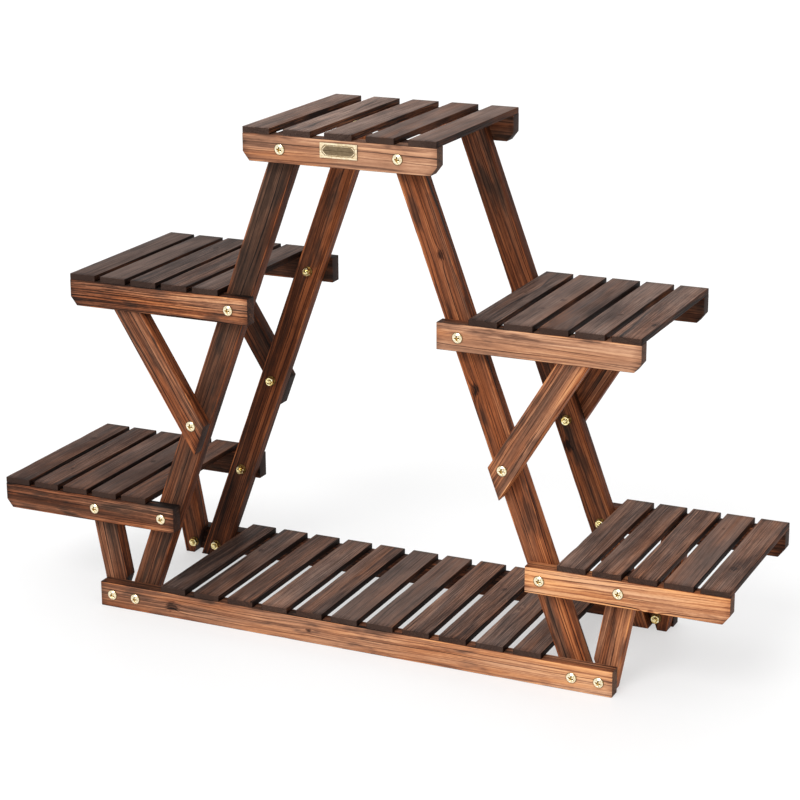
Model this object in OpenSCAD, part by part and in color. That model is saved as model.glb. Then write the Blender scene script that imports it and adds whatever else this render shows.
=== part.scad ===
// Six-platform plant stand: two bolted A-shaped board frames joined by slatted shelves.
// Millimetres, +Z up, +X to the right along the front, +Y to the back.
// The origin lies on the floor, midway between the legs and between the two frames.

/* [Boards] */
// Width of every frame board, as seen from the front
board_w = 33; // [30:0.5:36]
// Thickness of every frame board
board_t = 18; // [15:0.5:21]
// Width of a slat
slat_w = 36; // [32:0.5:38]
// Thickness of a slat
slat_t = 7.5; // [6:0.5:10]
// Flat planed along each long edge of a board or slat
ease = 1; // [0.5:0.1:1.5]
// How far the ends of the slats lie behind the rail faces
slat_inset = 0.5; // [0:0.1:2]

/* [Shelves] */
// Depth of the stand over the front and back rails
depth = 250; // [230:2:280]
// Length of the rails of the five small shelves
shelf_l = 250; // [244:1:262]
// Top of the top shelf's rails above the floor
top_z = 636; // [620:1:660]
// Top of the upper side shelves' rails above the floor
upper_z = 433; // [415:1:450]
// Top of the lower side shelves' rails above the floor
lower_z = 148.5; // [135:0.5:160]
// Length of the cut at the lower corner of an open rail end
end_cut_l = 8.5; // [5:0.5:14]
// Height of the cut at the lower corner of an open rail end
end_cut_h = 11; // [6:0.5:16]

/* [Legs] */
// Middle of the stand to the centre line of a leg, at the floor
foot_x = 305; // [298:1:312]
// Lean of the legs from upright, in degrees
lean = 20.3; // [19.5:0.1:21]
// Run of an upper side rail past its leg bolt
upper_tail = 26.5; // [22:0.5:30]
// Run of a lower side rail past its leg bolt
lower_tail = 18; // [14:0.5:24]

/* [Struts and braces] */
// Leg bolt to strut bolt, along the base rail
foot_spread = 34; // [32:0.5:40]
// Strut bolt to the end of the base rail
base_tail = 17; // [14:0.5:22]
// Leg bolt to strut bolt, along a lower side rail
strut_reach = 98; // [90:1:106]
// Gap between a leg and the cut foot of its strut, along the floor
strut_gap = 11.5; // [8:0.5:14]
// Height of the brace bolts above the floor
brace_z = 262; // [250:1:275]
// Lean of the braces from upright, in degrees
brace_lean = 31.5; // [30:0.5:33]

/* [Slat spacing] */
// Gap between an upper shelf's last slat and the leg
upper_clear = 2; // [1:0.5:6]
// Gap between a lower shelf's last slat and the leg
lower_clear = 10.5; // [8:0.5:14]
// Gap between the base's outer slats and the legs
base_clear = 12; // [8:0.5:15]

/* [Bolts] */
// Diameter of a bolt's shank
bolt_d = 6; // [5:0.5:6]
// Clearance of a bolt in its hole, on the diameter
bolt_gap = 0.5; // [0.3:0.1:1]
// Diameter of a bolt's domed head
head_d = 13.5; // [12:0.5:15]
// Height of a bolt's domed head
head_h = 3.3; // [2.6:0.1:4]
// Span of the cross recess in a bolt's head
recess_span = 5; // [4:0.1:6]
// Width of the arms of the cross recess
recess_arm = 1.2; // [0.8:0.1:1.6]
// Depth of the cross recess
recess_depth = 1.8; // [1:0.1:2.2]
// Length of thread that stands out of a nut
thread_out = 2.8; // [1:0.2:5]
// Diameter of a washer
washer_d = 13; // [12:0.5:15]
// Thickness of a washer
washer_t = 1.2; // [1:0.1:1.6]
// Width of a nut across its flats
nut_w = 10; // [9:0.5:11]
// Height of a nut
nut_h = 5; // [4:0.5:6]

/* [Nails and screws] */
// Diameter of a slat nail
nail_d = 1.6; // [1.2:0.1:2]
// Distance between the two nails at a slat's end
nail_spread = 16; // [12:0.5:20]
// Depth of the punched nail heads under the faces of the slats
nail_sink = 1; // [0.5:0.1:2]
// Wood left between a nail's point and the bolt hole under it
nail_clear = 1; // [0.5:0.5:4]
// Diameter of a brace screw
screw_d = 3.5; // [3:0.1:4]
// Length of a brace screw
screw_l = 60; // [50:1:64]
// Diameter of a brace screw's countersunk head
screw_head_d = 7; // [6:0.5:8]
// Brace's centre to its screw, along the underside of the rail
screw_shift = 8; // [5:0.5:9]
// Clearance round driven nails, driven screws and nut threads, on the diameter
drive_gap = 0.1; // [0.06:0.02:0.2]

/* [Hidden] */
$fn = 48;

// Slats on each small shelf, and on the base
SLATS = 5;
BASE_SLATS = 11;

FACES = ["front", "back"];
SIDES = ["left", "right"];
LEVELS = ["upper", "lower"];
SHELVES = ["top", "upper_left", "upper_right", "lower_left", "lower_right"];

FRAME_NODES = [
    for (face = FACES) each [
        str(face, "_top_rail"),
        str(face, "_base_rail"),
        for (level = LEVELS, side = SIDES) str(face, "_", level, "_", side, "_rail"),
        for (side = SIDES) each [
            str(face, "_", side, "_leg"),
            str(face, "_", side, "_strut"),
            str(face, "_", side, "_brace")
        ]
    ]
];
SLAT_NODES = [for (shelf = SHELVES, i = [1 : SLATS]) str(shelf, "_slat_", i)];
FASTENER_NODES = ["frame_bolts", "bolt_washers", "hex_nuts", "slat_nails", "brace_screws"];

rail_color = "#a5673f";
leg_color = "#6f3d24";
slat_color = "#58443a";
zinc_color = "#d8c37a";

// Reaches past everything, for long boards and for cuts that pass right through
far = 3 * top_z;

// The frame boards lie in two layers: rails and braces outside, legs and struts inside
outer_y = -depth / 2 + board_t / 2;
inner_y = outer_y + board_t;
inside_y = -depth / 2 + 2 * board_t;

// Half of a leg's width, measured along the floor
leg_half = board_w / 2 / cos(lean);

// Middle heights of the rails, where their bolts are
top_bolt_z = top_z - board_w / 2;
upper_bolt_z = upper_z - board_w / 2;
lower_bolt_z = lower_z - board_w / 2;
base_bolt_z = board_w / 2;

// Centre line of the right-hand leg
function leg_x(z) = foot_x - z * tan(lean);

// Strut bolts, and the struts' lean away from the middle
strut_foot_x = leg_x(base_bolt_z) + foot_spread;
strut_top_x = leg_x(lower_bolt_z) + strut_reach;
strut_lean = atan((strut_top_x - strut_foot_x) / (lower_bolt_z - base_bolt_z));

// Inner ends of the side rails, and the length of the base rail
upper_x = leg_x(upper_bolt_z) - upper_tail;
lower_x = leg_x(lower_bolt_z) - lower_tail;
base_l = 2 * (strut_foot_x + base_tail);

// Where a brace's centre line meets the underside of its rail, and its screw
brace_top_z = upper_z - board_w;
brace_top_x = leg_x(brace_z) + (brace_top_z - brace_z) * tan(brace_lean);
screw_x = brace_top_x - screw_shift;

// Every bolt of the front frame's right half, as x and z
BOLTS = [
    [leg_x(top_bolt_z), top_bolt_z],
    [leg_x(upper_bolt_z), upper_bolt_z],
    [leg_x(brace_z), brace_z],
    [leg_x(lower_bolt_z), lower_bolt_z],
    [strut_top_x, lower_bolt_z],
    [leg_x(base_bolt_z), base_bolt_z],
    [strut_foot_x, base_bolt_z]
];

// The slats of a shelf fill the run from its first edge to its last, evenly
function slat_centres(from, to, count) =
    let (pitch = (to - from - slat_w) / (count - 1))
    [for (i = [0 : count - 1]) from + slat_w / 2 + i * pitch];

top_slat_xs = slat_centres(-shelf_l / 2, shelf_l / 2, SLATS);
upper_slat_xs = slat_centres(leg_x(upper_z) + leg_half + upper_clear, upper_x + shelf_l, SLATS);
lower_slat_xs = slat_centres(leg_x(lower_z) + leg_half + lower_clear, lower_x + shelf_l, SLATS);
base_edge = leg_x(board_w + slat_t) - leg_half - base_clear;
base_slat_xs = slat_centres(-base_edge, base_edge, BASE_SLATS);

// Nails stop short of the bolts and stand near the rail's outer face, screws near its inner one
nail_reach = slat_t + board_w / 2 - (bolt_d + bolt_gap) / 2 - nail_clear;
nail_y = -depth / 2 + board_t / 3;
screw_y = -depth / 2 + board_t * 2 / 3;
screw_head_h = (screw_head_d - screw_d) / 2;

// Radius of the sphere that domes a bolt's head
dome_edge = 0.6;
dome_h = head_h - dome_edge;
dome_r = (pow(head_d / 2, 2) + pow(dome_h, 2)) / (2 * dome_h);

// Everything is drawn for the front right and mirrored from there
module on_face(face) {
    mirror([0, face == "back" ? 1 : 0, 0])
        children();
}

module on_side(side) {
    mirror([side == "left" ? 1 : 0, 0, 0])
        children();
}

module on_all_corners() {
    for (face = FACES, side = SIDES)
        on_face(face)
            on_side(side)
                children();
}

// Cross-section of a planed board: a by b, centred, its corners eased
module planed(a, b) {
    x = a / 2;
    y = b / 2;
    polygon([
        [ease - x, -y], [x - ease, -y], [x, ease - y], [x, y - ease],
        [x - ease, y], [ease - x, y], [-x, y - ease], [-x, ease - y]
    ]);
}

// Frame board along +X from x = 0, its width upright and its centre line on the X axis
module board(length) {
    rotate([90, 0, 90])
        linear_extrude(length)
            planed(board_t, board_w);
}

// Long board whose centre line passes x, z and leans towards the middle as it rises
module leaning_board(x, z, tilt) {
    translate([x, 0, z])
        rotate([0, -90 - tilt, 0])
            translate([-far / 2, 0, 0])
                board(far);
}

// All that lies between two heights
module between(z1, z2) {
    translate([-far, -far, z1])
        cube([2 * far, 2 * far, z2 - z1]);
}

// All that lies on the middle's side of a line beside the right leg, offset along the floor
module inward_of_leg(offset) {
    translate([foot_x + offset, 0, 0])
        rotate([0, -lean, 0])
            translate([-far, -far, -far])
                cube([far, 2 * far, 2 * far]);
}

module bolt_holes() {
    for (side = SIDES)
        on_side(side)
            for (p = BOLTS)
                translate([p[0], -far / 2, p[1]])
                    rotate([-90, 0, 0])
                        cylinder(d = bolt_d + bolt_gap, h = far);
}

// Upright pins at the nails of a row of slats, from the nails' points; the rail's top is at z
module nail_row(xs, z, d, length) {
    for (x = xs, s = [-1, 1])
        translate([x + s * nail_spread / 2, nail_y, z + slat_t - nail_reach])
            cylinder(d = d, h = length, $fn = 16);
}

module nails(xs, z) {
    nail_row(xs, z, nail_d, nail_reach - nail_sink);
}

module nail_holes(xs, z) {
    nail_row(xs, z, nail_d + drive_gap, nail_reach);
}

// Countersunk wood screw along -Z from z = 0
module wood_screw(extra) {
    translate([0, 0, -screw_l])
        cylinder(d = screw_d + extra, h = screw_l);
    translate([0, 0, -screw_head_h])
        cylinder(d1 = screw_d + extra, d2 = screw_head_d + extra, h = screw_head_h);
}

module brace_screw(extra) {
    translate([screw_x, screw_y, upper_z])
        wood_screw(extra);
}

// The cut at a rail end's lower corner, for an end at x = 0 with the rail at x < 0
module end_cut() {
    rotate([90, 0, 0])
        linear_extrude(far, center = true)
            polygon([
                [-end_cut_l, -board_w], [end_cut_l, -board_w],
                [end_cut_l, end_cut_h * 2 - board_w]
            ]);
}

// Rail whose top is at z, from x1 to x2, in the outer layer of the front frame
module rail(x1, x2, z) {
    translate([x1, outer_y, z - board_w / 2])
        board(x2 - x1);
}

module top_rail() {
    color(rail_color)
        difference() {
            rail(-shelf_l / 2, shelf_l / 2, top_z);
            for (side = SIDES)
                on_side(side)
                    translate([shelf_l / 2, 0, top_z])
                        end_cut();
            bolt_holes();
            nail_holes(top_slat_xs, top_z);
        }
}

module base_rail() {
    color(rail_color)
        difference() {
            rail(-base_l / 2, base_l / 2, board_w);
            bolt_holes();
            nail_holes(base_slat_xs, board_w);
        }
}

module upper_rail() {
    color(rail_color)
        difference() {
            rail(upper_x, upper_x + shelf_l, upper_z);
            translate([upper_x + shelf_l, 0, upper_z])
                end_cut();
            bolt_holes();
            nail_holes(upper_slat_xs, upper_z);
            brace_screw(drive_gap);
        }
}

module lower_rail() {
    color(rail_color)
        difference() {
            rail(lower_x, lower_x + shelf_l, lower_z);
            translate([lower_x + shelf_l, 0, lower_z])
                end_cut();
            bolt_holes();
            nail_holes(lower_slat_xs, lower_z);
        }
}

module leg() {
    color(leg_color)
        difference() {
            intersection() {
                translate([0, inner_y, 0])
                    leaning_board(foot_x, 0, lean);
                between(0, top_z);
            }
            bolt_holes();
        }
}

// The strut's foot is cut along the floor and along its leg
module strut() {
    color(leg_color)
        difference() {
            intersection() {
                translate([0, inner_y, 0])
                    leaning_board(strut_foot_x, base_bolt_z, -strut_lean);
                between(0, lower_z);
            }
            inward_of_leg(leg_half + strut_gap);
            bolt_holes();
        }
}

// The brace butts against the rail above it, and ends flush with the leg's inner edge
module brace() {
    color(leg_color)
        difference() {
            intersection() {
                translate([0, outer_y, 0])
                    leaning_board(leg_x(brace_z), brace_z, -brace_lean);
                between(0, brace_top_z);
            }
            inward_of_leg(-leg_half);
            bolt_holes();
            brace_screw(drive_gap);
        }
}

// Slat across the rails, nailed at both ends; z is the top of the rails
module slat(x, z) {
    color(slat_color)
        difference() {
            translate([x, 0, z + slat_t / 2])
                rotate([90, 0, 0])
                    linear_extrude(depth - 2 * slat_inset, center = true)
                        planed(slat_w, slat_t);
            for (face = FACES)
                on_face(face)
                    nail_holes([x], z);
        }
}

module base_slats() {
    for (x = base_slat_xs)
        slat(x, board_w);
}

// Bolt along +Y, its head's seat at y = 0
module bolt() {
    grip = 2 * board_t + washer_t + nut_h + thread_out;
    rotate([-90, 0, 0])
        cylinder(d = bolt_d, h = grip);
    rotate([90, 0, 0])
        difference() {
            intersection() {
                cylinder(d = head_d, h = head_h);
                translate([0, 0, head_h - dome_r])
                    sphere(r = dome_r, $fn = 96);
            }
            for (a = [0, 90])
                rotate(a)
                    translate([-recess_span / 2, -recess_arm / 2, head_h - recess_depth])
                        cube([recess_span, recess_arm, recess_depth]);
        }
}

module at_bolts() {
    on_all_corners()
        for (p = BOLTS)
            translate([p[0], 0, p[1]])
                children();
}

module frame_bolts() {
    color(zinc_color)
        at_bolts()
            translate([0, -depth / 2, 0])
                bolt();
}

module bolt_washers() {
    color(zinc_color)
        at_bolts()
            translate([0, inside_y, 0])
                rotate([-90, 0, 0])
                    difference() {
                        cylinder(d = washer_d, h = washer_t);
                        translate([0, 0, -washer_t])
                            cylinder(d = bolt_d + bolt_gap, h = 3 * washer_t);
                    }
}

module hex_nuts() {
    color(zinc_color)
        at_bolts()
            translate([0, inside_y + washer_t, 0])
                rotate([-90, 0, 0])
                    difference() {
                        cylinder(d = nut_w / cos(30), h = nut_h, $fn = 6);
                        translate([0, 0, -nut_h])
                            cylinder(d = bolt_d + drive_gap, h = 3 * nut_h);
                    }
}

module slat_nails() {
    color(zinc_color)
        for (face = FACES)
            on_face(face) {
                nails(top_slat_xs, top_z);
                nails(base_slat_xs, board_w);
                for (side = SIDES)
                    on_side(side) {
                        nails(upper_slat_xs, upper_z);
                        nails(lower_slat_xs, lower_z);
                    }
            }
}

module brace_screws() {
    color(zinc_color)
        on_all_corners()
            brace_screw(0);
}

// The frame boards of both faces
for (face = FACES) {
    on_face(face) top_rail();
    on_face(face) base_rail();
    for (side = SIDES) {
        on_face(face) on_side(side) upper_rail();
        on_face(face) on_side(side) lower_rail();
        on_face(face) on_side(side) leg();
        on_face(face) on_side(side) strut();
        on_face(face) on_side(side) brace();
    }
}

// The slats, counted from the left on the top shelf and outwards on the others
for (i = [1 : SLATS]) {
    slat(top_slat_xs[i - 1], top_z);
    for (side = SIDES) {
        on_side(side) slat(upper_slat_xs[i - 1], upper_z);
        on_side(side) slat(lower_slat_xs[i - 1], lower_z);
    }
}
base_slats();

frame_bolts();
bolt_washers();
hex_nuts();
slat_nails();
brace_screws();
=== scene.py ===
"""Looks of a six-platform plant stand of charred and brushed softwood, bolted with yellow zinc hardware.

Each board is lofted on the outline of its CAD node, in its own axes: u along the grain, v across the face and w
through the thickness. It carries those coordinates, so rings, streaks and knots run through it as through a real board.
Everything is in metres, in the CAD model's frame: +X along the front, +Y to the back, +Z up.
"""

import math
import random

import bpy
import numpy as np
from mathutils import Matrix, Vector, noise


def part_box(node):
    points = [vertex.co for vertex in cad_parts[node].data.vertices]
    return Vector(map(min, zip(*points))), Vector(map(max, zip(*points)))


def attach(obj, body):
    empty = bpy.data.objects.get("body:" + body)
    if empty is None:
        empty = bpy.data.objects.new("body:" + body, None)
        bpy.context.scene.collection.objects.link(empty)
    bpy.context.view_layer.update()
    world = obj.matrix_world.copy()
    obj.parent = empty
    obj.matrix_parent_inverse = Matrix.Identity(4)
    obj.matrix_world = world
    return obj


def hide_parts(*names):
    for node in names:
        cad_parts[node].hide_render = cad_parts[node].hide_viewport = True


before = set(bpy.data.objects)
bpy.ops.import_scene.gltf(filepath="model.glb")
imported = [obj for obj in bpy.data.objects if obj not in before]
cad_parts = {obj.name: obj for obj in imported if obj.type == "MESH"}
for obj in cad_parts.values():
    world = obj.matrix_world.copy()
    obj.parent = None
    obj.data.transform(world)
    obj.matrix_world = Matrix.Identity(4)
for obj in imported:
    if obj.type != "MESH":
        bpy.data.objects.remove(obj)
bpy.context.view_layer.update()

MM = 0.001

# Shape of a board beyond its outline. Its corners' radius wanders along the grain, nicks widen it, and its faces are
# worn. The rates are in cycles to the metre, WEAR_RATES along, across and through the board
CORNER_R = 0.6 * MM
LEAST_CORNER_R = 0.15 * MM
CORNER_STEPS = 3
WANDER = 0.35
WANDER_RATE = 60
NICK = 4.5
NICK_RATE = 25
NICK_FROM = 0.35
END_R = 0.6 * MM
END_STEPS = 3
STATION = 9 * MM
WEAR = 0.1 * MM
WEAR_RATES = (35, 60, 60)
FACE_WEAR = 0.4

# Hardware. A turned surface stops POLE_R short of its axis. A bolt's end narrows in TIP_STEPS of (in from its shank,
# back from its end) in millimetres. NUT_SEAT is the radius of a nut's seat as a share of half its width
POLE_R = 0.02 * MM
HEAD_D = 13.5 * MM
HEAD_H = 3.3 * MM
HEAD_EDGE = 0.7 * MM
HEAD_BREAK = 0.25 * MM
HEAD_RINGS = 24
HEAD_SEGMENTS = 64
HEAD_TURN = 0.35
RECESS_SPAN = 7.4 * MM
RECESS_ARM = 1.9 * MM
RECESS_WALL = 0.25 * MM
RECESS_DEPTH = 2.2 * MM
SHANK_D = 6 * MM
THREAD_PITCH = 1.0 * MM
THREAD_DEPTH = 0.5 * MM
THREAD_OUT = 2.8 * MM
TIP_LAND = 0.8 * MM
TIP_STEPS = ((0.6, 0.3), (1.0, 0.0))
TIP_SEGMENTS = 32
NUT_W = 10 * MM
NUT_H = 5 * MM
NUT_SEAT = 1.02
NUT_CHAMFER = 0.7 * MM
NUT_SEGMENTS = 48
BORE_BREAK = 0.5 * MM
BORE_BREAK_DEPTH = 0.6 * MM
WASHER_T = 1.2 * MM
WASHER_D = 13 * MM
WASHER_BREAK = 0.2 * MM
WASHER_SEGMENTS = 48

# The base shelf's slats share one CAD node
BASE_SLATS = 11
BASE_SLAT_W = 36 * MM

# Bare plate on the top front rail. Its steps are (inset, corner cut, height) in millimetres, from the rail up its
# rim and in to its field. Heights are from a plane PLATE_BACK in front of the rail, so the first lies on the rail.
# The pins' steps are (share of PIN_R, height)
PLATE_X = 1.5 * MM
PLATE_Z = 623.5 * MM
PLATE_W = 48 * MM
PLATE_H = 18 * MM
PLATE_BACK = 1.0 * MM
PIN_INSET = 2.1 * MM
PIN_R = 0.7 * MM
PLATE_STEPS = [
    (0.0, 0.4, -1.0), (0.0, 0.4, 0.75), (0.25, 0.4, 1.0), (2.3, 3.4, 1.0), (2.6, 3.6, 0.6), (3.2, 3.8, 0.6),
    (3.35, 3.85, 0.75), (3.7, 4.0, 0.75), (3.85, 4.05, 0.55), (5.0, 4.2, 0.5),
]
PLATE_SIDES = 8
RAISED = 0.7
PIN_STEPS = ((1.0, 0.95), (0.9, 1.2), (0.6, 1.4), (0.1, 1.5))
PIN_SEGMENTS = 12

# The photograph's camera: an 800 by 800 picture, focal length in its pixels
PICTURE = 800
FOCAL = 2245.0
CAMERA_AT = Vector((1.1364, -2.4195, 1.1185))
CAMERA_YAW = math.radians(24.766)
CAMERA_PITCH = math.radians(17.281)
CAMERA_ROLL = math.radians(-0.248)
SENSOR = 36
VIEW_REACH = 200

# Studio: a pale floor with a glow of its own, an even white sky and one soft sun
FLOOR_REACH = 40
FLOOR_GREY = 0.4
FLOOR_GLOW = 0.53
FLOOR_ROUGHNESS = 0.6
SKY_STRENGTH = 0.95
SUN_STRENGTH = 1.7
SUN_SPREAD = math.radians(26)
SUN_TOWARDS = Vector((0.1, 1.0, -0.9))

# The axis through the thickness of a frame board and of a slat
Y, Z = 1, 2

# How each frame board came out of the flame: lightness, warmth, char, strength of its lines and of its clouds, about
# 0 to 1, ring spacing, and how much lighter its far end is than its middle, a gradient that is partly painted shade
# Boards of the back frame, darkened in part as painted shade: they stand behind the slats, in their shade
BACK_FINISH_AND_SHADE = {
    "rail": (0.3, 0.55, 0.45, 0.6, 1.0, 4.2, 0.0),
    "strut": (0.36, 0.75, 0.45, 0.7, 1.0, 4.2, 0.0),
    "brace": (0.44, 0.75, 0.45, 0.7, 1.0, 4.2, -0.05),
}
FINISH = {
    "front_top_rail": (0.77, 0.12, 0.4, 0.6, 1.2, 5.0, 0.12),
    "front_base_rail": (0.75, 0.4, 0.35, 0.7, 1.0, 4.2, 0.19),
    "front_upper_left_rail": (0.45, 0.5, 0.3, 1.4, 0.7, 3.6, 0.1),
    "front_upper_right_rail": (0.77, 0.2, 0.2, 0.65, 0.8, 4.4, 0.0),
    "front_lower_left_rail": (0.44, 0.5, 0.5, 0.85, 1.3, 3.6, 0.07),
    "front_lower_right_rail": (0.84, 0.5, -0.1, 1.1, 0.8, 3.8, -0.06),
    "front_left_leg": (0.33, 0.35, 0.5, 0.55, 1.1, 5.0, -0.04),
    "front_left_strut": (0.38, 0.55, 0.35, 0.7, 1.0, 4.0, 0.0),
    "front_left_brace": (0.5, 0.55, 0.45, 0.8, 1.0, 4.2, 0.0),
    "front_right_leg": (0.51, 0.75, 0.5, 0.65, 0.85, 4.4, -0.07),
    "front_right_strut": (0.57, 0.5, 0.4, 0.7, 1.0, 4.0, 0.0),
    "front_right_brace": (0.63, 0.5, 0.4, 0.75, 0.8, 4.2, -0.02),
    "back_top_rail": (0.42, 0.5, 0.45, 0.6, 1.0, 4.2, 0.0),
    "back_lower_right_rail": (0.36, 0.5, 0.45, 0.6, 1.0, 4.2, 0.0),
    "back_left_brace": (0.22, 0.75, 0.45, 0.65, 0.8, 4.2, 0.12),
    "back_left_leg": (0.32, 0.9, 0.35, 0.6, 0.6, 4.2, 0.12),
    "back_right_leg": (0.38, 0.75, 0.5, 0.65, 0.8, 4.2, -0.07),
}
# Warmth of each shelf's slats, and their lightness one by one
SLAT_FINISH = {
    "top": (0.05, (0.59, 0.6, 0.54, 0.46, 0.51)),
    "upper_left": (0.1, (0.36, 0.34, 0.37, 0.38, 0.35)),
    "upper_right": (0.2, (0.37, 0.51, 0.4, 0.49, 0.45)),
    "lower_left": (0.42, (0.32, 0.31, 0.38, 0.33, 0.31)),
    "lower_right": (0.42, (0.53, 0.42, 0.42, 0.48, 0.41)),
    "base": (0.3, (0.33, 0.42, 0.39, 0.46, 0.46, 0.46, 0.43, 0.48, 0.45, 0.53, 0.47)),
}
# What each slat draws at random, in this order; its warmth is added to its shelf's
SLAT_SPANS = {
    "char": (0.2, 0.6), "lines": (0.6, 1.5), "clouds": (0.6, 1.4), "warmth": (-0.15, 0.15), "spacing": (3.5, 5.5),
}
# Knots as (x, z, radius) on a frame board and (x, y, radius) on a slat, in millimetres
KNOTS = {
    "front_base_rail": ((-244, 15, 4.5), (-49, 17, 1.8)),
    "front_lower_right_rail": ((394, 116, 2.5),),
    "front_right_leg": ((166, 351, 3.5), (122, 508, 3)),
    "back_right_leg": ((210, 229, 4.5),),
    "front_left_brace": ((-206, 300, 3.5),),
    "upper_right_slat_2": ((233, 0, 3), (225, -44, 2)),
}

# A knot is longer than it is wide. A slat or a board of the back frame may have a stray one, whose spans are its place
# along the board in metres, its place across as a share of the half width, and its radius in millimetres
KNOT_NAMES = ("knot_1", "knot_2")
KNOT_STRETCH = 1.6
NO_KNOT_NEAR = (99.0, 99.0, 0.0)
STRAY_KNOT_ODDS = 0.25
STRAY_KNOT = ((-0.09, 0.09), (-0.7, 0.7), (1.5, 3))
# How far the heart of the log lies from a board's middle, in millimetres: to its side, and in front of or behind it
SLAT_HEART = ((5, 30), (25, 60))
FRAME_HEART = ((45, 90), (15, 55))
GRAIN_SLOPE = 0.02

# Noise in the wood: cycles to the metre along, across and through the board, then detail, roughness and shift
PATTERNS = {
    "sway": ((4, 22, 22), 1.0, 0.5, 0.0),
    "ripple": ((14, 60, 60), 2.0, 0.5, 3.0),
    "ragged": ((90, 260, 260), 3.0, 0.6, 6.0),
    "patchy": ((7, 70, 70), 2.0, 0.5, 9.0),
    "fine": ((14, 1200, 1200), 3.0, 0.6, 0.0),
    "speck": ((150, 460, 460), 2.0, 0.6, 8.0),
    "fibre": ((4, 480, 480), 3.0, 0.6, 4.0),
    "fleck": ((14, 700, 700), 2.0, 0.5, 5.0),
    "streak": ((4, 210, 210), 5.0, 0.7, 1.0),
    "brushed": ((24, 40, 40), 3.0, 0.5, 2.0),
    # Noise of the flanks' darkening, the flame's char together with painted shade
    "scorch_and_shade": ((9, 9, 9), 2.0, 0.5, 14.0),
    "singe": ((20, 300, 300), 2.0, 0.5, 0.0),
    "hue": ((5, 50, 50), 2.0, 0.5, 11.0),
}
# How far the rings sway, ripple and bend round a knot
SWAY = 0.014
RIPPLE = 0.0024
KNOT_BULGE = 0.006
# How deep the flame went in at a board's ends, and how raggedly
SINGE_FROM = 0.004
SINGE_TO = 0.018
SINGE_RAGGED = 0.014


def hull(points):
    """Convex hull of flat points, anticlockwise."""
    points = sorted(set(points))

    def half(run):
        chain = []
        for p in run:
            while len(chain) > 1 and turn(chain[-2], chain[-1], p) <= 1e-9:
                chain.pop()
            chain.append(p)
        return chain[:-1]

    return half(points) + half(points[::-1])


def turn(a, b, c):
    """Twice the signed area of a triangle."""
    return (b[0] - a[0]) * (c[1] - a[1]) - (b[1] - a[1]) * (c[0] - a[0])


class Board:
    """A board's own axes, half sizes and end outlines, read from the corners of its CAD solid.

    thin is the axis through the thickness, 0 to 2. start and end give the board's ends as lists of (v, u).
    """

    def __init__(self, points, thin):
        flat = [i for i in range(3) if i != thin]
        outline = hull([(round(p[flat[0]], 5), round(p[flat[1]], 5)) for p in points])
        sides = [Vector(b) - Vector(a) for a, b in zip(outline, outline[1:] + outline[:1])]
        along = max(sides, key=lambda s: s.length).normalized()
        if along.y < -0.5 or along.x < -0.7:
            along = -along
        self.along = self.lift(along, flat)
        self.thin = Vector([float(i == thin) for i in range(3)])
        self.across = self.thin.cross(self.along)
        corners = [self.lift(Vector(p), flat) for p in outline]
        vs = [c.dot(self.across) for c in corners]
        us = [c.dot(self.along) for c in corners]
        depths = [p[thin] for p in points]
        self.half_v = (max(vs) - min(vs)) / 2
        self.half_w = (max(depths) - min(depths)) / 2
        middle_v = (max(vs) + min(vs)) / 2
        middle_u = (max(us) + min(us)) / 2
        self.centre = self.along * middle_u + self.across * middle_v + self.thin * (max(depths) + min(depths)) / 2
        local = [(v - middle_v, u - middle_u) for v, u in zip(vs, us)]
        self.start = sorted(p for p in local if p[1] < 0)
        self.end = sorted(p for p in local if p[1] > 0)

    @staticmethod
    def lift(flat_point, flat):
        """A flat vector as one in the CAD model's frame."""
        lifted = [0.0, 0.0, 0.0]
        lifted[flat[0]], lifted[flat[1]] = flat_point
        return Vector(lifted)

    def place(self, u, v, w):
        return self.centre + self.along * u + self.across * v + self.thin * w

    def kinks(self):
        """Places across the face where an end's outline turns."""
        inner = self.half_v - 2 * CORNER_R
        return sorted({round(v, 6) for v, _ in self.start + self.end if abs(v) < inner})


def at(outline, v):
    """The end of the board at v, on its outline."""
    return float(np.interp(v, [p[0] for p in outline], [p[1] for p in outline]))


def section(board, radii, shrink):
    """Rounded cross-section as (v, w), up one side and down the other. radii is (side, edge) to radius."""
    half_v, half_w = board.half_v - shrink, board.half_w - shrink
    ring = []
    for side in (1, -1):
        run = []
        for edge in (-1, 1):
            r = max(radii[side, edge] - shrink, LEAST_CORNER_R)
            arc = []
            for k in range(CORNER_STEPS + 1):
                a = k / CORNER_STEPS * math.pi / 2
                arc.append((edge * (half_v - r + r * math.cos(a)), side * (half_w - r + r * math.sin(a))))
            if edge < 0:
                run += arc + [(v, side * half_w) for v in board.kinks()]
            else:
                run += arc[::-1]
        ring += run if side > 0 else run[::-1]
    return ring


def angles(count):
    """Evenly spaced angles of a full turn."""
    return [math.tau * k / count for k in range(count)]


def strips(rows, ring, first=0):
    """Faces that join closed rows of vertices, each ring long, the first row from vertex first."""
    faces = []
    for row in range(rows - 1):
        for k in range(ring):
            a, b = first + row * ring + k, first + row * ring + (k + 1) % ring
            faces.append((a, b, b + ring, a + ring))
    return faces


def make_mesh(name, verts, faces, *materials):
    mesh = bpy.data.meshes.new(name)
    mesh.from_pydata(verts, [], faces)
    mesh.validate()
    for material in materials:
        mesh.materials.append(material)
    return mesh


def stations_of(length):
    """A board's cross-sections from end to end as (share of its length, advance along it, inset of its outline)."""
    turns = [k * math.pi / (2 * END_STEPS) for k in range(END_STEPS)]
    rounding = [(END_R * (1 - math.cos(a)), END_R * (1 - math.sin(a))) for a in turns]
    count = max(4, round(length / STATION))
    stations = [(0, advance, inset) for advance, inset in rounding]
    stations += [(k / count, END_R * (1 - 2 * k / count), 0) for k in range(count + 1)]
    return stations + [(1, -advance, inset) for advance, inset in reversed(rounding)]


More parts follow.
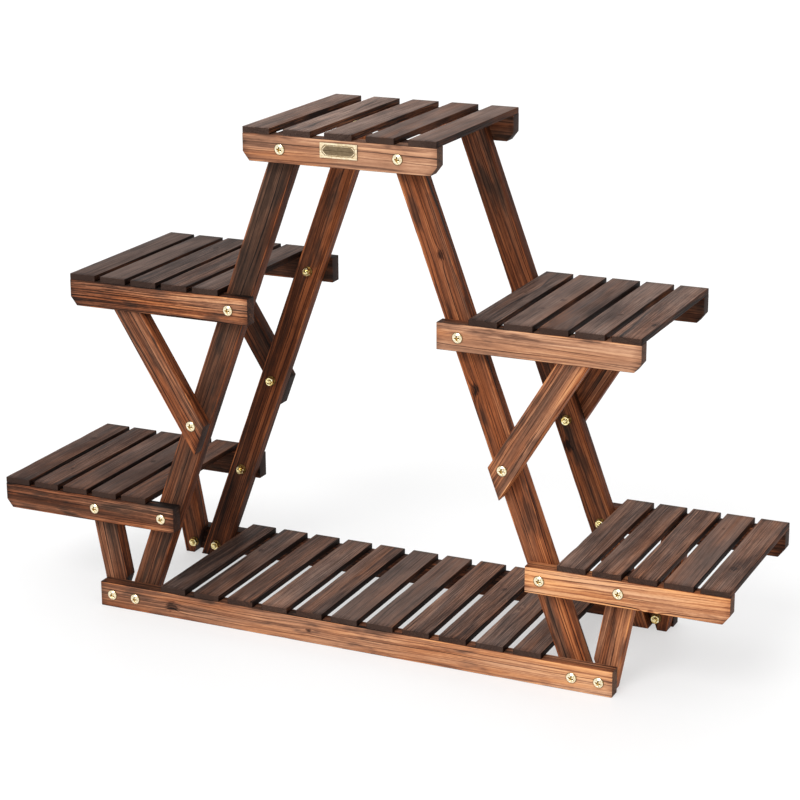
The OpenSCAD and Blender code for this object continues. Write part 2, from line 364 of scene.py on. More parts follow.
def corner_radii(offset, along):
    """Radius of each corner, (side, edge) to metres, at a place along the board. Each corner has noise of its own."""
    radii = {}
    for corner, key in enumerate([(1, -1), (1, 1), (-1, -1), (-1, 1)]):
        rough = noise.noise(offset + Vector((along * WANDER_RATE, corner * 9.7, 0)))
        nick = max(0.0, noise.noise(offset + Vector((along * NICK_RATE, corner * 5.3, 7))) - NICK_FROM)
        radii[key] = CORNER_R * (1 + WANDER * rough + NICK * nick)
    return radii


def loft(name, board, material, rng):
    """Mesh of a board with worn, rounded corners and ends, and its wood coordinates."""
    offset = Vector((rng.uniform(0, 50), rng.uniform(0, 50), rng.uniform(0, 50)))
    length = min(p[1] for p in board.end) - max(p[1] for p in board.start)
    stations = stations_of(length)
    verts, grain, place, ends = [], [], [], []
    for share, advance, inset in stations:
        along = (share - 0.5) * length
        for v, w in section(board, corner_radii(offset, share * length), inset):
            spot = Vector((along * WEAR_RATES[0], v * WEAR_RATES[1], w * WEAR_RATES[2]))
            worn = WEAR * (0.5 + 0.5 * noise.noise(offset + spot))
            worn_v = v * (1 - worn / board.half_v * (abs(v) / board.half_v) ** 4)
            worn_w = w * (1 - FACE_WEAR * worn / board.half_w)
            low, high = at(board.start, worn_v), at(board.end, worn_v)
            u = low + share * (high - low) + advance
            verts.append(board.place(u, worn_v, worn_w))
            grain.append((u, v, w))
            place.append((v, w, min(u - low, high - u)))
            ends.append(float(inset == END_R))
    ring = len(verts) // len(stations)
    faces = strips(len(stations), ring)
    last = len(verts) - ring
    for k in range(ring // 2 - 1):
        a, b = k, k + 1
        c, d = ring - 2 - k, ring - 1 - k
        faces += [(a, d, c, b), (last + b, last + c, last + d, last + a)]
    mesh = make_mesh(name, verts, faces, material)
    mesh.shade_smooth()
    attribute(mesh, "section", "FLOAT_VECTOR", place)
    attribute(mesh, "cut_end", "FLOAT", ends)
    return mesh, grain


def attribute(mesh, name, kind, values):
    made = mesh.attributes.new(name, kind, "POINT")
    made.data.foreach_set("vector" if kind == "FLOAT_VECTOR" else "value", np.array(values, np.float32).ravel())


def stain_and_shade(mesh, grain, tone, fade, figure, pith, slope, knots, rng):
    """Where the board was sawn from its log, its tone and its knots, as attributes that the wood reads.

    tone is (lightness, warmth, char), fade what its lightness gains from middle to end, which is partly painted shade,
    figure (ring spacing, lines, clouds), pith the heart of the log as (v, w) from the board's middle, slope how fast
    the grain leaves the board's length, and knots up to two of (u, v, radius).
    """
    start = rng.uniform(0, 20)
    reach = max(u for u, _, _ in grain)
    in_log = [(u + start, v - pith[0] + slope * u, w - pith[1]) for u, v, w in grain]
    attribute(mesh, "grain", "FLOAT_VECTOR", in_log)
    # Lightness changes from end to end by fade, partly painted shade along the board
    attribute(mesh, "tone", "FLOAT_VECTOR", [(tone[0] + fade * u / reach, tone[1], tone[2]) for u, _, _ in grain])
    attribute(mesh, "figure", "FLOAT_VECTOR", [figure] * len(grain))
    for name, knot in zip(KNOT_NAMES, knots + [None, None]):
        if knot is None:
            near = [NO_KNOT_NEAR] * len(grain)
        else:
            near = [((u - knot[0]) / knot[2] / KNOT_STRETCH, (v - knot[1]) / knot[2], 0.0) for u, v, _ in grain]
        attribute(mesh, name, "FLOAT_VECTOR", near)


class Graph:
    """A material's nodes by function call: each returns an output, and inputs are outputs or plain values."""

    def __init__(self, name):
        self.material = bpy.data.materials.new(name)
        self.material.use_nodes = True
        self.tree = self.material.node_tree
        self.tree.nodes.clear()

    def add(self, kind, inputs, output=0, **settings):
        node = self.tree.nodes.new(kind)
        for key, value in settings.items():
            setattr(node, key, value)
        for key, value in inputs.items():
            socket = node.inputs[key]
            if isinstance(value, bpy.types.NodeSocket):
                self.tree.links.new(value, socket)
            else:
                socket.default_value = value
        return None if output is None else node.outputs[output]

    def attribute(self, name, output="Vector"):
        return self.add("ShaderNodeAttribute", {}, output, attribute_name=name)

    def place(self):
        """The place on the piece, in its own axes."""
        return self.add("ShaderNodeTexCoord", {}, "Object")

    def math(self, operation, a, b=0.0):
        return self.add("ShaderNodeMath", {0: a, 1: b}, operation=operation)

    def length(self, vector):
        return self.add("ShaderNodeVectorMath", {0: vector}, "Value", operation="LENGTH")

    def split(self, vector):
        return self.add("ShaderNodeSeparateXYZ", {0: vector}).node.outputs

    def join(self, x, y, z):
        return self.add("ShaderNodeCombineXYZ", {0: x, 1: y, 2: z})

    def noise(self, vector, stretch, detail=2.0, roughness=0.5, shift=0.0):
        """Noise with its own scale along each axis, in cycles to the metre, from 0 to 1."""
        inputs = {0: vector, 1: stretch, 2: (shift, shift, shift)}
        moved = self.add("ShaderNodeVectorMath", inputs, operation="MULTIPLY_ADD")
        inputs = {"Vector": moved, "Scale": 1.0, "Detail": detail, "Roughness": roughness}
        return self.add("ShaderNodeTexNoise", inputs, "Fac")

    def pattern(self, vector, name):
        """One of the wood's noise patterns."""
        return self.noise(vector, *PATTERNS[name])

    def rise(self, value, low, high, bottom=0.0, top=1.0):
        """Smooth step from bottom, where value is low, to top, where it is high."""
        inputs = {"Value": value, 1: low, 2: high, 3: bottom, 4: top}
        return self.add("ShaderNodeMapRange", inputs, interpolation_type="SMOOTHSTEP")

    def mix(self, factor, a, b):
        return self.add("ShaderNodeMix", {0: factor, 6: a, 7: b}, 2, data_type="RGBA")

    def ramp(self, value, stops):
        """Colour for a value, from (value, colour) stops in rising order."""
        colour = self.add("ShaderNodeValToRGB", {0: value})
        elements = colour.node.color_ramp.elements
        elements.remove(elements[1])
        elements[0].position, elements[0].color = stops[0]
        for place, shade in stops[1:]:
            elements.new(place).color = shade
        return colour

    def total(self, start, *terms):
        """Start plus the sum of (value, weight) terms; a third number is taken from the value first."""
        for value, weight, *middle in terms:
            if middle:
                value = self.math("SUBTRACT", value, middle[0])
            start = self.math("ADD", start, self.math("MULTIPLY", value, weight))
        return start

    def bump(self, height, strength, distance):
        return self.add("ShaderNodeBump", {"Strength": strength, "Distance": distance, "Height": height})

    def surface(self, **inputs):
        """Ends the graph with a surface and returns the material."""
        shader = self.add("ShaderNodeBsdfPrincipled", {key.replace("_", " "): value for key, value in inputs.items()})
        self.add("ShaderNodeOutputMaterial", {"Surface": shader}, None)
        return self.material


def paint(red, green, blue):
    """A colour of the screen, 0 to 255, as the shader's."""
    shares = [c / 255 for c in (red, green, blue)]
    return [c / 12.92 if c <= 0.04045 else ((c + 0.055) / 1.055) ** 2.4 for c in shares] + [1.0]


def scale(*colours):
    """Stops for a ramp, evenly spaced from 0 to 1."""
    return [(k / (len(colours) - 1), paint(*colour)) for k, colour in enumerate(colours)]


def growth_rings(g, grain, spacing):
    """Rings about the heart of the log, swayed along the board and bent round its knots.

    Returns the rings' dark late wood, a random number for each ring, and the knots, all 0 to 1.
    """
    _, y, z = g.split(grain)
    reach = g.math("SQRT", g.math("ADD", g.math("MULTIPLY", y, y), g.math("MULTIPLY", z, z)))
    reach = g.total(reach, (g.pattern(grain, "sway"), SWAY), (g.pattern(grain, "ripple"), RIPPLE))
    ragged = g.pattern(grain, "ragged")
    knots = None
    for name in KNOT_NAMES:
        away = g.length(g.attribute(name))
        bulge = g.math("DIVIDE", KNOT_BULGE, g.total(1.0, (g.math("MULTIPLY", away, away), 0.5)))
        reach = g.math("ADD", reach, bulge)
        knot = g.rise(g.total(away, (ragged, 3.0, 0.5)), 0.6, 1.7, 1.0, 0.0)
        knots = knot if knots is None else g.math("MAXIMUM", knots, knot)
    ring = g.math("DIVIDE", reach, spacing)
    inputs = {"W": g.math("MULTIPLY", ring, 0.45), "Scale": 1.0, "Detail": 1.0}
    uneven = g.add("ShaderNodeTexNoise", inputs, "Fac", noise_dimensions="1D")
    ring = g.total(ring, (uneven, 1.8))
    phase = g.math("FRACT", ring)
    number = g.math("FLOOR", ring)
    dark_ring = g.add("ShaderNodeTexWhiteNoise", {"W": number}, "Value", noise_dimensions="1D")
    pale_ring = g.add("ShaderNodeTexWhiteNoise", {"W": g.math("ADD", number, 0.37)}, "Value", noise_dimensions="1D")
    late = g.math("MULTIPLY", g.rise(phase, 0.6, 0.84), g.rise(phase, 0.92, 1.0, 1.0, 0.0))
    late = g.math("MULTIPLY", late, g.total(0.2, (g.math("POWER", dark_ring, 1.6), 1.0)))
    late = g.math("MULTIPLY", late, g.rise(g.pattern(grain, "patchy"), 0.3, 0.6, 0.35, 1.0))
    return late, pale_ring, knots


def burnt_and_shaded_edges(g, grain, look):
    """The arrises that the brush bared, the flanks, the flame's scorch on the flanks together with painted shade, and
    the singe at the ends, each 0 to 1.
    """
    across, through, from_end = g.split(g.attribute("section"))
    from_side = g.math("SUBTRACT", look["half_v"], g.math("ABSOLUTE", across))
    from_face = g.math("SUBTRACT", look["half_w"], g.math("ABSOLUTE", through))
    flank = g.rise(from_side, 0.3 * MM, 0.9 * MM, 1.0, 0.0)
    arris = g.rise(g.math("MAXIMUM", from_side, from_face), 0.7 * MM, 2.2 * MM, 1.0, 0.0)
    arris = g.math("MULTIPLY", arris, g.rise(g.pattern(grain, "brushed"), 0.42, 0.6))
    arris = g.math("MULTIPLY", arris, g.total(look["wear"], (flank, -0.8 * look["wear"])))
    # Flanks darkened by the flame's char and by painted shade where boards meet and between slats
    scorch_and_shade = g.math("MULTIPLY", flank, g.rise(g.pattern(grain, "scorch_and_shade"), 0.4, 0.6, 0.6, 1.0))
    singe = g.total(from_end, (g.pattern(grain, "singe"), SINGE_RAGGED))
    return arris, flank, scorch_and_shade, g.rise(singe, SINGE_FROM, SINGE_TO, 1.0, 0.0)


def wood(name, look):
    """Charred and brushed softwood: one value from char to bare wood, coloured by a cool and a warm scale."""
    g = Graph(name)
    grain = g.attribute("grain")
    lightness, warmth, charring = g.split(g.attribute("tone"))
    spacing, line_strength, cloud_strength = g.split(g.attribute("figure"))
    late, pale_ring, knots = growth_rings(g, grain, spacing)
    arris, flank, scorch_and_shade, singe = burnt_and_shaded_edges(g, grain, look)
    scorch_and_shade = g.math("MULTIPLY", scorch_and_shade, lightness)

    # Fibres, dark flecks, and the streaks and clouds that the flame leaves
    fine, speck, fibre = (g.pattern(grain, kind) for kind in ("fine", "speck", "fibre"))
    fleck = g.rise(g.pattern(grain, "fleck"), 0.57, 0.65)
    cloud = g.noise(grain, look["cloud_size"], look["cloud_detail"], 0.6, shift=7.0)
    streak = g.total(g.pattern(grain, "streak"), (cloud, 0.5, 0.5), (charring, 0.2))
    streak = g.math("MULTIPLY", g.rise(streak, 0.59, 0.69, 0.0, look["streak"]), line_strength)
    char = g.total(g.noise(grain, look["char_size"], 3.0, 0.62, shift=12.0), (charring, 0.2, 0.4))
    char = g.rise(char, 0.52, 0.72, 0.0, look["char"])

    lines = g.total(0.0, (pale_ring, 0.5 * look["line"], 0.5), (late, -look["line"]), (fibre, look["fibre"], 0.5),
                    (fleck, -look["fleck"]), (speck, look["speck"], 0.5), (fine, look["fine"], 0.5))
    value = g.total(lightness, (g.math("MULTIPLY", lines, line_strength), 1.0))
    value = g.total(value, (g.math("MULTIPLY", g.math("SUBTRACT", cloud, 0.5), cloud_strength), look["cloud"]))
    # Takes away the streaks, the char, the scorch and painted shade on the flanks, the singe and the knots
    value = g.total(value, (g.math("MULTIPLY", g.math("ADD", streak, char), value), -1.0), (arris, 0.26),
                    (scorch_and_shade, -look["flank"]), (singe, -look["singe"]), (knots, -look["knot"]))
    warmth = g.total(warmth, (g.pattern(grain, "hue"), look["hue"], 0.5), (arris, 0.4), (streak, -0.3), (char, -0.8),
                     (flank, look["flank_warmth"]))
    colour = g.mix(g.rise(warmth, 0.0, 1.0), g.ramp(value, look["cool"]), g.ramp(value, look["warm"]))
    colour = g.mix(g.math("MULTIPLY", g.attribute("cut_end", "Fac"), 0.8), colour, look["end"])

    relief = g.total(0.0, (late, 0.5), (fine, 0.4), (fibre, 0.3), (fleck, -0.4))
    rough = g.rise(g.math("ADD", fine, late), 0.2, 1.3, look["rough"] + 0.08, look["rough"] - 0.08)
    return g.surface(Base_Color=colour, Roughness=rough, Normal=g.bump(relief, 0.6, 0.3 * MM),
                     Specular_IOR_Level=look["gloss"])


def zinc(name, tints, patch_size, rough, rim=None):
    """Yellow passivated zinc, patched with three tints; from rim outwards the dome of a head turns dark and green,
    partly the passivation's darker edge and partly painted shade that outlines the head.
    """
    g = Graph(name)
    place = g.place()
    patch = g.noise(place, (patch_size,) * 3, 3.0, 0.6)
    colour = g.mix(g.rise(patch, 0.38, 0.5), tints[0], tints[1])
    colour = g.mix(g.rise(patch, 0.52, 0.62), colour, tints[2])
    if rim:
        x, y, _ = g.split(place)
        out = g.total(g.length(g.join(x, y, 0.0)), (patch, 0.8 * MM, 0.5))
        # Partly painted shade: a dark ring round a head's edge, like a contact shadow
        colour = g.mix(g.rise(out, rim, rim + 0.8 * MM), colour, paint(128, 100, 52))
    scratch = g.noise(place, (3000, 3000, 3000), 2.0, shift=4.0)
    sheen = g.rise(scratch, 0.3, 0.7, rough - 0.07, rough + 0.07)
    return g.surface(Base_Color=colour, Metallic=1.0, Roughness=sheen, Normal=g.bump(scratch, 0.25, 0.05 * MM))


def shaded_recess_zinc(name):
    """Zinc inside a recess, golden where the driver rubbed it, with painted shade that turns it near black on its side
    towards +X and +Y in the head's own axes.
    """
    g = Graph(name)
    place = g.place()
    mottle = g.noise(place, (900, 900, 900), 3.0, 0.6)
    x, y, _ = g.split(place)
    side = g.total(g.math("ADD", x, y), (mottle, 2.0 * MM, 0.5))
    colour = g.mix(g.rise(mottle, 0.35, 0.65), paint(196, 160, 74), paint(150, 108, 38))
    # Painted shade: near black on one side of the recess, standing for its shaded walls
    colour = g.mix(g.rise(side, 0.4 * MM, 1.8 * MM), colour, paint(46, 42, 32))
    return g.surface(Base_Color=colour, Metallic=0.8, Roughness=g.rise(mottle, 0.3, 0.7, 0.35, 0.55))


def brass(name, pale, dark, low, high):
    """Brushed sheet brass, its strokes along X, tarnished from pale to dark; low and high bound its roughness."""
    g = Graph(name)
    place = g.place()
    stroke = g.noise(place, (90, 2500, 2500), 3.0)
    tarnish = g.noise(place, (260, 420, 420), 3.0, 0.6, shift=3.0)
    colour = g.mix(g.rise(g.total(stroke, (tarnish, 0.8, 0.5)), 0.35, 0.65), dark, pale)
    sheen = g.rise(stroke, 0.3, 0.7, low, high)
    return g.surface(Base_Color=colour, Metallic=1.0, Roughness=sheen, Normal=g.bump(stroke, 0.3, 0.05 * MM))


def show(name, mesh, where=None, node=None):
    """Puts a mesh in the scene as a piece of the object, for a CAD node if one is named."""
    piece = bpy.data.objects.new(name, mesh)
    bpy.context.scene.collection.objects.link(piece)
    if where is not None:
        piece.matrix_world = where
    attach(piece, "root")
    if node:
        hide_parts(node)


def lathe(name, profile, segments, material, dent=None):
    """Surface of revolution about Z from (radius, height) points; dent(x, y) lowers it."""
    verts = []
    for r, h in profile:
        for a in angles(segments):
            x, y = r * math.cos(a), r * math.sin(a)
            verts.append((x, y, h - (dent(x, y) if dent else 0.0)))
    mesh = make_mesh(name, verts, strips(len(profile), segments), material)
    mesh.shade_smooth()
    return mesh


def corners_of(node):
    return [tuple(v.co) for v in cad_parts[node].data.vertices]


def base_slat_points():
    """The corners of each base slat, from left to right: they share one node and stand at one pitch."""
    points = corners_of("base_slats")
    low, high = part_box("base_slats")
    pitch = (high.x - low.x - BASE_SLAT_W) / (BASE_SLATS - 1)
    groups = [[] for _ in range(BASE_SLATS)]
    for p in points:
        groups[round((p[0] - low.x - BASE_SLAT_W / 2) / pitch)].append(p)
    return groups


# How each pattern shows in the wood of the rails, the legs and the slats. half_v and half_w are the board's half
# sizes, end is the colour of its cut ends, line to char say what each pattern adds to the value or takes from it, hue
# how far its warmth varies, wear how bare its arrises are, flank how dark its sides, partly char and partly painted
# shade where boards meet and in the gaps between slats, singe how dark its ends, flank_warmth how warm its sides, and
# cool and warm are its scales from char to bare wood
RAIL = {
    "half_v": 16.5 * MM, "half_w": 9 * MM, "rough": 0.6, "gloss": 0.08, "end": paint(42, 30, 26),
    "line": 0.64, "fibre": 0.6, "fleck": 0.2, "speck": 0.24, "fine": 0.6, "knot": 0.34,
    "cloud": 0.7, "cloud_size": (8, 40, 40), "cloud_detail": 4.0,
    "streak": 0.42, "char": 0.42, "char_size": (13, 60, 60), "hue": 1.6,
    "wear": 1.0, "flank": 0.6, "flank_warmth": 0.1, "singe": 0.14,
    "cool": scale((26, 20, 18), (66, 47, 37), (112, 79, 62), (164, 119, 92), (208, 162, 128)),
    "warm": scale((28, 16, 10), (82, 42, 23), (140, 78, 45), (190, 122, 74), (222, 160, 104)),
}
LEG = RAIL | {"flank": 0.12, "flank_warmth": 1.0, "fine": 0.8, "line": 0.8}
SLAT = {
    "half_v": 18 * MM, "half_w": 3.75 * MM, "rough": 0.58, "gloss": 0.06, "end": paint(50, 36, 30),
    "line": 0.2, "fibre": 0.2, "fleck": 0.08, "speck": 0.12, "fine": 0.85, "knot": 0.16,
    "cloud": 0.5, "cloud_size": (10, 22, 22), "cloud_detail": 2.5,
    "streak": 0.1, "char": 0.14, "char_size": (9, 30, 30), "hue": 1.1,
    "wear": 0.25, "flank": 1.0, "flank_warmth": 1.0, "singe": 0.12,
    "cool": scale((26, 21, 20), (63, 50, 45), (109, 89, 80), (153, 128, 115), (195, 167, 150)),
    "warm": scale((26, 14, 9), (80, 46, 29), (136, 86, 57), (184, 126, 88), (218, 164, 122)),
}
# The top and base shelves' slats: the slat wood with less and more painted shade on their flanks, the base's narrow
# gaps the darkest
TOP_SLAT = SLAT | {"flank": 0.85}
BASE_SLAT = SLAT | {"flank": 1.35}
RAIL_WOOD = wood("rail_wood", RAIL)
LEG_WOOD = wood("leg_wood", LEG)
SLAT_WOOD = wood("slat_wood", SLAT)
TOP_SLAT_WOOD = wood("top_slat_wood", TOP_SLAT)
BASE_SLAT_WOOD = wood("base_slat_wood", BASE_SLAT)


def log_heart(rng, reach):
    """Heart of the log as (v, w) from a board's middle: off its edge for straight lines, behind it for broad figure."""
    side, behind = rng.choice((-1, 1)), rng.choice((-1, 1))
    return side * rng.uniform(*reach[0]) * MM, behind * rng.uniform(*reach[1]) * MM


def knots_of(name, board, thin, rng):
    """A board's knots as (u, v, radius): those that the photograph shows, or now and then one at random."""
    if name in KNOTS:
        spots = [(Vector((x, 0, other) if thin == Y else (x, other, 0)) * MM - board.centre, radius)
                 for x, other, radius in KNOTS[name]]
        return [(spot.dot(board.along), spot.dot(board.across), radius * MM) for spot, radius in spots]
    if name.startswith("front") or rng.random() >= STRAY_KNOT_ODDS:
        return []
    u, v, radius = (rng.uniform(*span) for span in STRAY_KNOT)
    return [(u, v * board.half_v, radius * MM)]


def make_board(node, points, thin, finish, material, name=None):
    """The piece that stands for a board's node, or for one of the boards that share it."""
    name = name or node
    rng = random.Random(name)
    board = Board(points, thin)
    mesh, grain = loft("wood_" + name, board, material, rng)
    knots = knots_of(name, board, thin, rng)
    lightness, warmth, char, lines, clouds, spacing, fade = finish
    slope = rng.uniform(-GRAIN_SLOPE, GRAIN_SLOPE)
    pith = log_heart(rng, FRAME_HEART if thin == Y else SLAT_HEART)
    stain_and_shade(mesh, grain, (lightness, warmth, char), fade, (spacing * MM, lines, clouds), pith, slope, knots, rng)
    show("wood_" + name, mesh, node=node)


def slat_finish(shelf, number):
    """A slat's finish as FINISH has it, with what SLAT_FINISH leaves open drawn at random."""
    warmth, lightness = SLAT_FINISH[shelf]
    rng = random.Random(f"{shelf} {number}")
    drawn = {key: rng.uniform(*span) for key, span in SLAT_SPANS.items()}
    warmth += drawn["warmth"]
    return lightness[number - 1], warmth, drawn["char"], drawn["lines"], drawn["clouds"], drawn["spacing"], 0.0


for node in sorted(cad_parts):
    kind = node.split("_")[-1]
    if kind == "rail":
        make_board(node, corners_of(node), Y, FINISH.get(node) or BACK_FINISH_AND_SHADE[kind], RAIL_WOOD)
    elif kind in ("leg", "strut", "brace"):
        make_board(node, corners_of(node), Y, FINISH.get(node) or BACK_FINISH_AND_SHADE[kind], LEG_WOOD)
    elif "_slat_" in node:
        shelf, number = node.split("_slat_")
        material = TOP_SLAT_WOOD if shelf == "top" else SLAT_WOOD
        make_board(node, corners_of(node), Z, slat_finish(shelf, int(number)), material)
for number, group in enumerate(base_slat_points(), 1):
    finish = slat_finish("base", number)
    make_board("base_slats", group, Z, finish, BASE_SLAT_WOOD, f"base_slat_{number}")


def recess(x, y):
    """Depth of a cross recess, its arms rising to the surface at their ends."""
    def arm(a, b):
        wall = min(1.0, max(0.0, (RECESS_ARM / 2 - abs(a)) / RECESS_WALL))
        return wall * min(1.0, max(0.0, (RECESS_SPAN / 2 - abs(b)) / (RECESS_SPAN / 4)))
    return RECESS_DEPTH * max(arm(x, y), arm(y, x))


def head_profile():
    """Domed head from its rim to its top."""
    dome = HEAD_H - HEAD_EDGE
    radius = ((HEAD_D / 2) ** 2 + dome ** 2) / (2 * dome)
    profile = [(HEAD_D / 2 - HEAD_BREAK, 0.0), (HEAD_D / 2, HEAD_BREAK), (HEAD_D / 2, HEAD_EDGE)]
    for k in range(1, HEAD_RINGS + 1):
        r = HEAD_D / 2 * (1 - k / HEAD_RINGS) + POLE_R
        profile.append((r, HEAD_H - radius + math.sqrt(radius ** 2 - r ** 2)))
    return profile


def nut_mesh(material):
    """Hexagon nut with chamfered corners, about Z from its seat. Its rows are (height, largest radius)."""
    seat = NUT_W / 2 * NUT_SEAT
    outside = [(0.0, seat), (NUT_CHAMFER, math.inf), (NUT_H - NUT_CHAMFER, math.inf), (NUT_H, seat)]
    bore = [(NUT_H, SHANK_D / 2 + BORE_BREAK), (NUT_H - BORE_BREAK_DEPTH, SHANK_D / 2)]
    rows = outside + bore
    verts = []
    for h, limit in rows:
        for a in angles(NUT_SEGMENTS):
            side = (a + math.pi / 6) % (math.pi / 3) - math.pi / 6
            r = limit if (h, limit) in bore else min(limit, NUT_W / 2 / math.cos(side))
            verts.append((r * math.sin(a), r * math.cos(a), h))
    return make_mesh("nut", verts, strips(len(rows), NUT_SEGMENTS), material)


def tip_profile():
    """Threaded end of a bolt as it stands out of its nut."""
    radius = SHANK_D / 2
    profile = []
    h = 0.0
    while h < THREAD_OUT - TIP_LAND:
        profile += [(radius - THREAD_DEPTH, h), (radius, h + THREAD_PITCH / 2)]
        h += THREAD_PITCH
    end = [(radius - narrower * MM, THREAD_OUT - back * MM) for narrower, back in TIP_STEPS]
    return profile + end + [(POLE_R, THREAD_OUT)]


ZINC = zinc("yellow_zinc", (paint(200, 164, 84), paint(255, 238, 176), paint(255, 250, 220)), 300, 0.14)
# Washers: dull zinc darkened nearly to the wood's brown, partly painted shade round each nut
DULL_SHADED_ZINC = zinc("dull_zinc_painted_shade", (paint(74, 55, 30), paint(104, 80, 44), paint(134, 108, 60)), 400, 0.4)
# The heads darken over their last millimetre to the rim, partly painted shade
HEAD_ZINC = zinc("head_zinc", (paint(196, 168, 96), paint(255, 247, 220), paint(255, 232, 188)), 560, 0.22,
                 HEAD_D / 2 - 1.0 * MM)
# Zinc for the heads' recesses, with painted shade on one side of each
RECESS_SHADE = shaded_recess_zinc("recess_zinc_painted_shade")
WASHER_PROFILE = [
    (WASHER_D / 2, 0.0), (WASHER_D / 2, WASHER_T - WASHER_BREAK), (WASHER_D / 2 - WASHER_BREAK, WASHER_T),
    (SHANK_D / 2 + WASHER_BREAK, WASHER_T),
]
HEAD_MESH = lathe("bolt_head", head_profile(), HEAD_SEGMENTS, HEAD_ZINC, recess)
WASHER_MESH = lathe("washer", WASHER_PROFILE, WASHER_SEGMENTS, DULL_SHADED_ZINC)
NUT_MESH = nut_mesh(ZINC)
TIP_MESH = lathe("bolt_tip", tip_profile(), TIP_SEGMENTS, ZINC)
FACE_Y = abs(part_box("front_top_rail")[0].y)


def washer_centres():
    """Middle of each washer of the CAD model."""
    groups = {}
    for x, y, z in corners_of("bolt_washers"):
        key = next((k for k in groups if math.hypot(k[0] - x, k[1] - z) < 1.1 * WASHER_D and k[2] * y > 0), (x, z, y))
        groups.setdefault(key, []).append((x, y, z))
    return [Vector(np.array(group).min(0) + np.array(group).max(0)) / 2 for group in groups.values()]


def shade_recess(mesh):
    """Gives the faces inside the head's recess the zinc with its painted shade."""
    mesh.materials.append(RECESS_SHADE)
    for face in mesh.polygons:
        if recess(face.center.x, face.center.y) > RECESS_DEPTH / 4:
            face.material_index = 1


def plate_mesh(line, field):
    """Pressed plate with a rim, a fine raised line with cut corners and a bare field; its front looks along -Y. Its
    outer side takes the field's dark brass as painted shade along its edge.
    """
    verts, raised = [], []
    for inset, cut, height in PLATE_STEPS:
        a, b, c = PLATE_W / 2 - inset * MM, PLATE_H / 2 - inset * MM, cut * MM
        ring = [(a, b - c), (a - c, b), (c - a, b), (-a, b - c), (-a, c - b), (c - a, -b), (a - c, -b), (a, c - b)]
        verts += [(x, -height * MM, z) for x, z in ring]
    faces = strips(len(PLATE_STEPS), PLATE_SIDES)
    for step, (outer, inner) in enumerate(zip(PLATE_STEPS, PLATE_STEPS[1:])):
        # The plate's outer side, the first step, takes the dark field brass: painted shade along its edge
        raised += [step > 0 and max(outer[2], inner[2]) > RAISED] * PLATE_SIDES
    faces.append(tuple(range(len(verts) - PLATE_SIDES, len(verts))))
    raised.append(False)
    for side in (1, -1):
        for level in (1, -1):
            x, z = side * (PLATE_W / 2 - PIN_INSET), level * (PLATE_H / 2 - PIN_INSET)
            faces += strips(len(PIN_STEPS), PIN_SEGMENTS, len(verts))
            for r, height in PIN_STEPS:
                for a in angles(PIN_SEGMENTS):
                    verts.append((x + r * PIN_R * math.cos(a), -height * MM, z + r * PIN_R * math.sin(a)))
            faces.append(tuple(range(len(verts) - PIN_SEGMENTS, len(verts))))
    raised += [True] * (len(faces) - len(raised))
    mesh = make_mesh("bare_plate", verts, faces, line, field)
    for face, is_raised in zip(mesh.polygons, raised):
        face.material_index = 0 if is_raised else 1
    return mesh


PLATE_LINE = brass("plate_brass", paint(252, 236, 204), paint(214, 188, 146), 0.25, 0.42)
PLATE_FIELD = brass("plate_field", paint(134, 116, 90), paint(116, 99, 76), 0.35, 0.55)
show("bare_plate", plate_mesh(PLATE_LINE, PLATE_FIELD),
     Matrix.Translation((PLATE_X, -FACE_Y - PLATE_BACK, PLATE_Z)))

shade_recess(HEAD_MESH)
rng = random.Random("bolts")
for number, centre in enumerate(sorted(washer_centres(), key=tuple), 1):
    inward = -math.copysign(1, centre.y)
    seat = abs(centre.y) + WASHER_T / 2
    outwards = Matrix.Rotation(math.radians(90) * inward, 4, "X")
    inwards = outwards @ Matrix.Rotation(math.pi, 4, "X")
    for part, mesh, reach, turned, node in (
        ("head", HEAD_MESH, FACE_Y, outwards, "frame_bolts"),
        ("washer", WASHER_MESH, seat, inwards, "bolt_washers"),
        ("nut", NUT_MESH, seat - WASHER_T, inwards, "hex_nuts"),
        ("tip", TIP_MESH, seat - WASHER_T - NUT_H, inwards, "frame_bolts"),
    ):
        turn_by = rng.uniform(-HEAD_TURN, HEAD_TURN) if part == "head" else rng.uniform(0, math.tau)
        where = Matrix.Translation((centre.x, -inward * reach, centre.z)) @ turned @ Matrix.Rotation(turn_by, 4, "Z")
        show(f"bolt_{number}_{part}", mesh, where, node)

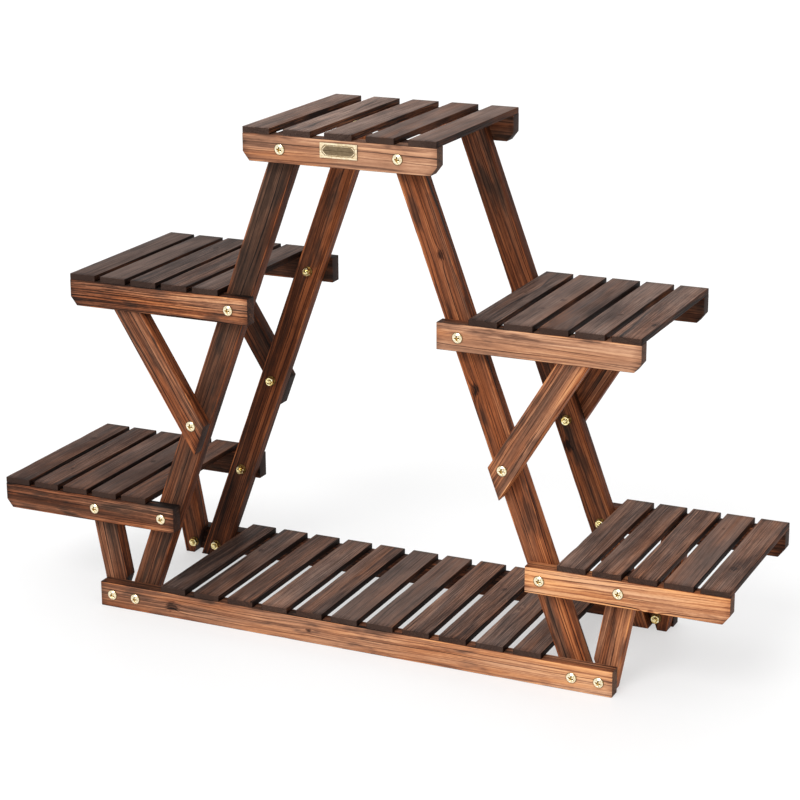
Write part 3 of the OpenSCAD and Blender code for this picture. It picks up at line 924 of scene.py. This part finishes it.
for node in ("slat_nails", "brace_screws"):
    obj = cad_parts[node]
    obj.data.materials.clear()
    obj.data.materials.append(ZINC)

grey, white = (FLOOR_GREY,) * 3 + (1.0,), (1.0, 1.0, 1.0, 1.0)
pale_floor = Graph("pale_floor").surface(Base_Color=grey, Roughness=FLOOR_ROUGHNESS, Emission_Color=white,
                                         Emission_Strength=FLOOR_GLOW)
square = [(x * FLOOR_REACH, y * FLOOR_REACH, 0) for x, y in ((-1, -1), (1, -1), (1, 1), (-1, 1))]
floor = bpy.data.objects.new("floor", make_mesh("ground", square, [(0, 1, 2, 3)], pale_floor))
bpy.context.scene.collection.objects.link(floor)

world = bpy.data.worlds.new("studio")
bpy.context.scene.world = world
world.use_nodes = True
sky = world.node_tree.nodes["Background"]
sky.inputs["Color"].default_value = white
sky.inputs["Strength"].default_value = SKY_STRENGTH

sun = bpy.data.lights.new("key", "SUN")
sun.energy = SUN_STRENGTH
sun.angle = SUN_SPREAD
lamp = bpy.data.objects.new("key", sun)
lamp.rotation_euler = SUN_TOWARDS.to_track_quat("-Z", "Y").to_euler()
bpy.context.scene.collection.objects.link(lamp)

forward = Vector((
    -math.sin(CAMERA_YAW) * math.cos(CAMERA_PITCH),
    math.cos(CAMERA_YAW) * math.cos(CAMERA_PITCH),
    -math.sin(CAMERA_PITCH),
))
level = Vector((math.cos(CAMERA_YAW), math.sin(CAMERA_YAW), 0))
above = level.cross(forward)
right = level * math.cos(CAMERA_ROLL) + above * math.sin(CAMERA_ROLL)
up = above * math.cos(CAMERA_ROLL) - level * math.sin(CAMERA_ROLL)
camera = bpy.data.objects.new("camera", bpy.data.cameras.new("camera"))
camera.data.sensor_width = SENSOR
camera.data.lens = SENSOR * FOCAL / PICTURE
camera.matrix_world = Matrix((right, up, -forward)).transposed().to_4x4()
camera.location = CAMERA_AT
camera.data.clip_end = VIEW_REACH
bpy.context.scene.collection.objects.link(camera)
bpy.context.scene.camera = camera
bpy.context.scene.view_settings.view_transform = "Standard"
